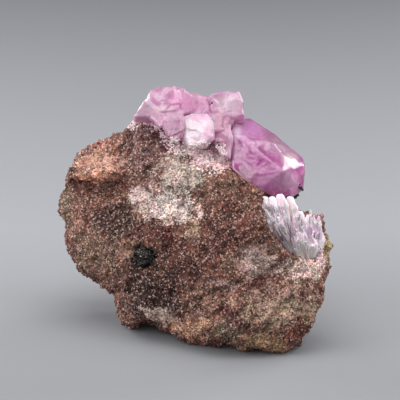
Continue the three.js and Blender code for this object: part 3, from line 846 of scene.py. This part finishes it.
draw = np.random.default_rng(21)
middles, outward, areas = face_arrays(rock)
off_base = middles[:, 2] > BASE_MARGIN
facing = FAR_SIDE + (1 - FAR_SIDE) * (outward @ np.array(OUT) > 0)
to_crystal = np.array([min(trees[piece.name].find_nearest(Vector(middle), SUGAR_REACH)[3] or SUGAR_REACH
                           for piece in (crown, milky)) for middle in middles])
along_contact = np.clip(1 - to_crystal / SUGAR_REACH, 0, 1) ** SUGAR_THINNING
from_field = middles - np.array(seen_on(trees["host_rock"], SUGAR_FIELD[0]))
in_field = FIELD_SHARE * np.clip(FIELD_RIM - np.linalg.norm(from_field, axis=1) / SUGAR_FIELD[1], 0, 1)
sugary = np.maximum(along_contact, in_field)
strewn = [seats_in(middles, outward, areas * off_base * facing, GRAIN_COUNT, GRAIN_SIZES, draw),
          swarm("ore_crystals", *ORE_DUST, draw)]
grains = rhombs("sand_grains", strewn, draw)
strewn = [swarm(*place, draw) for place in CONTACT_SUGAR]
strewn.append(seats_in(middles, outward, areas * sugary, SUGAR_COUNT, SUGAR_SIZES, draw))
sugar = rhombs("sugary_calcite", strewn, draw)
dress(grains, loose_grain(), "host_rock")
dress(sugar, sugary_calcite(), "pale_pink_calcite")

# %% [markdown]
# ## Calcite materials
# Cobalt tints calcite pink to magenta. It is clear in thin edges and cloudy inside, where
# healed cracks scatter the light. So the shader is part transmission and part scattering, with
# an absorption that deepens the colour with thickness. The clouds are bent noise between a pale
# and a deep tone. The healed cracks are the places where a second noise crosses its middle,
# which gives thin curved wisps.

# %% Calcite material
WISP = "#fbeef6"  # a healed crack
EDGE_HIGHLIGHT = "#fbe9f3"  # painted highlight along sharp edges and ridges
CLOUD_BENDS = (2.4, 1.0)  # width and reach in millimetres
FINE_CLOUD, CRACK_SPACING = 0.22, 1.3  # in the width of a cloud
CRACK_WIDTH, CRACK_STRENGTH = 0.03, 0.15
EDGE_FROM, EDGE_TO, EDGE_STRENGTH = 0.51, 0.56, 0.55  # flat skin has 0.5
PATCH_RIM, PATCH_CORE = 1.45, 0.3  # a patch fades out between them, in its half width
POLISH = (0.06, 0.26)  # roughness of a clear face and of a cloudy one
SCATTER_DEPTH = 2.2 * MM


def calcite_clouds(tree, loose, cloud_size, turned, pale, deep, patches, solid):
    """The tint of cloudy calcite with its patches, and the veil that its clouds follow."""
    veil = add_node(tree, "ShaderNodeTexNoise", sized(loose, cloud_size, Detail=5.0))
    share = add_node(tree, "ShaderNodeMapRange", {0: veil.outputs["Fac"], 1: 0.36, 2: 0.64},
                     interpolation_type="SMOOTHSTEP")
    tone = add_node(tree, "ShaderNodeMix", {0: share.outputs[0], 6: deep, 7: pale}, data_type="RGBA")
    border = add_node(tree, "ShaderNodeTexNoise", sized(turned, 1.8, Detail=5.0))
    fray = add_node(tree, "ShaderNodeMapRange", {0: border.outputs["Fac"], 1: 0.2, 2: 0.8, 3: -0.25, 4: 0.25})
    patched = tinted(tree, tone.outputs[2], turned, fray.outputs[0], patches, solid, PATCH_RIM, PATCH_CORE)
    fine = add_node(tree, "ShaderNodeTexNoise", sized(loose, cloud_size * FINE_CLOUD, Detail=5.0))
    return shaded(tree, patched, fine.outputs["Fac"], 0.68, 1.34), veil.outputs["Fac"]


def wisps_and_edge_highlights(tree, loose, cloud_size, tint):
    """A tint with the thin wisps of healed cracks, and with a painted highlight along sharp edges."""
    second = add_node(tree, "ShaderNodeTexNoise", sized(loose, cloud_size * CRACK_SPACING, Detail=3.0))
    crossing = add_node(tree, "ShaderNodeMath", {0: second.outputs["Fac"], 1: 0.5}, operation="SUBTRACT")
    near = add_node(tree, "ShaderNodeMath", {0: crossing.outputs[0]}, operation="ABSOLUTE")
    wisp = add_node(tree, "ShaderNodeMapRange", {0: near.outputs[0], 1: 0.0, 2: CRACK_WIDTH,
                                                 3: CRACK_STRENGTH, 4: 0.0})
    cracked = add_node(tree, "ShaderNodeMix", {0: wisp.outputs[0], 6: tint, 7: WISP}, data_type="RGBA")
    # Painted highlight: where the skin is pointed, at edges and ridges, the colour is lightened.
    skin = add_node(tree, "ShaderNodeNewGeometry")
    edge = add_node(tree, "ShaderNodeMapRange", {0: skin.outputs["Pointiness"], 1: EDGE_FROM, 2: EDGE_TO,
                                                 3: 0.0, 4: EDGE_STRENGTH})
    edge_highlighted = add_node(tree, "ShaderNodeMix", {0: edge.outputs[0], 6: cracked.outputs[2], 7: EDGE_HIGHLIGHT},
                       data_type="RGBA")
    return edge_highlighted.outputs[2]


def cobalt_calcite(name, pale, deep, absorbed, density, clear, cloud_size, streak, patches, solid):
    """Cloudy calcite, tinted by cobalt. streak above 1 draws its clouds out along the display's y."""
    material, tree = new_material(name)
    _, turned = display_place(tree)
    drawn_out = add_node(tree, "ShaderNodeMapping", {"Vector": turned, "Scale": (1, 1 / streak, 1)})
    loose = bent(tree, drawn_out.outputs[0], *CLOUD_BENDS)
    tint, veil = calcite_clouds(tree, loose, cloud_size, turned, pale, deep, patches, solid)
    polish = add_node(tree, "ShaderNodeMapRange", {0: veil, 1: 0.3, 2: 0.7, 3: POLISH[0], 4: POLISH[1]})
    dents = add_node(tree, "ShaderNodeTexNoise", sized(drawn_out.outputs[0], 0.5, Detail=3.0))
    bump = add_node(tree, "ShaderNodeBump", {
        "Height": dents.outputs["Fac"], "Strength": 0.25, "Distance": 0.06 * MM})
    shader = add_node(tree, "ShaderNodeBsdfPrincipled", {
        "Base Color": wisps_and_edge_highlights(tree, loose, cloud_size, tint), "Roughness": polish.outputs[0],
        "IOR": CALCITE_IOR, "Transmission Weight": clear, "Subsurface Weight": 0.5,
        "Subsurface Radius": (1.0, 0.55, 0.85), "Subsurface Scale": SCATTER_DEPTH, "Normal": bump.outputs[0]})
    depth = add_node(tree, "ShaderNodeVolumeAbsorption", {"Color": absorbed, "Density": density})
    add_node(tree, "ShaderNodeOutputMaterial", {"Surface": shader.outputs[0], "Volume": depth.outputs[0]})
    return material


# %% Calcites
# Each row: material, pale and deep tone, tint that the depth gives and its density per metre,
# share that light passes straight through, width of a cloud in millimetres, how many times as
# long the clouds are, patches, and the slot.
CALCITES = {
    "crown_crystals": ("pale_cobalt_calcite", "#ebc2da", "#d996c2", "#f0a8d4", 30.0, 0.6, 3.0, 1.0,
                       CROWN_PATCHES, "pale_pink_calcite"),
    "white_crystal": ("milky_calcite", "#f3e4ec", "#e2c4d4", "#f6dcea", 20.0, 0.35, 2.0, 1.0,
                      MILKY_PATCHES, "milky_calcite"),
    "large_crystal": ("deep_cobalt_calcite", "#c983b3", "#b05a98", "#dc6ab4", 60.0, 0.45, 4.0, 1.0,
                      MAGENTA_PATCHES, "magenta_calcite"),
    "blade_crystals": ("bladed_lilac_calcite", "#fffafc", "#ecccdc", "#f6e6f0", 4.0, 0.1, 1.0, 5.0,
                       BLADE_PATCHES, "lilac_calcite"),
}
for node, (*look, slot) in CALCITES.items():
    piece = crystals[node]
    dress(piece, cobalt_calcite(*look, trees[piece.name]), slot, node)
for number, field in enumerate(SLIVER_FIELDS):
    dress(slivers(f"blade_slivers_{number}", *field, draw), blades.data.materials[0], "lilac_calcite")
print(len(CALCITES), "kinds of calcite")

# %% [markdown]
# ## The ore in its pit, and its specks
# The black-green crystals are a dense ore with a dull metallic gloss. A dark, slightly glossy
# dielectric with a greenish noise is close to that. Crumbs of the same ore lie round the pit,
# on the right-hand end of the large crystal and under its foot. Under its foot they are partly
# a dark mineral and partly painted shade, filling the shaded gap between the crystal and the rock.

# %% Ore
ORE_SPECKS_AND_SHADE = {  # piece: middle (pixel), half width and half height of the swarm (pixels), count, sizes (mm)
    "host_rock": (((143, 254), (13, 11), 60, (0.2, 0.6)),),
    # Under the large crystal's foot the crumbs are partly dark mineral and partly painted shade in the gap
    # there.
    "magenta_crystal": (((301, 184), (2, 9), 9, (0.2, 0.7)), ((290, 200), (11, 3), 46, (0.3, 0.9))),
    "crown_calcite": (((210, 102), (2, 3), 4, (0.2, 0.4)), ((218, 144), (2, 3), 4, (0.2, 0.45))),
}


def black_green_ore():
    """Small dark crystals, dull, with green reflections."""
    material, tree = new_material("black_green_ore")
    place, _ = display_place(tree)
    uneven = add_node(tree, "ShaderNodeTexNoise", sized(place, 0.6, Detail=3.0))
    tone = add_node(tree, "ShaderNodeMix", {0: uneven.outputs["Fac"], 6: "#060504", 7: "#232925"},
                    data_type="RGBA")
    shader = add_node(tree, "ShaderNodeBsdfPrincipled", {
        "Base Color": tone.outputs[2], "Roughness": 0.4, "Specular IOR Level": 0.25})
    add_node(tree, "ShaderNodeOutputMaterial", {"Surface": shader.outputs[0]})
    return material


draw = np.random.default_rng(41)
strewn = [swarm(name, *place, draw) for name, places in ORE_SPECKS_AND_SHADE.items() for place in places]
specks_and_shade = rhombs("ore_specks_and_shade", strewn, draw)
dress(ore, black_green_ore(), "dark_ore", "ore_druse")
dress(specks_and_shade, ore.data.materials[0], "dark_ore")
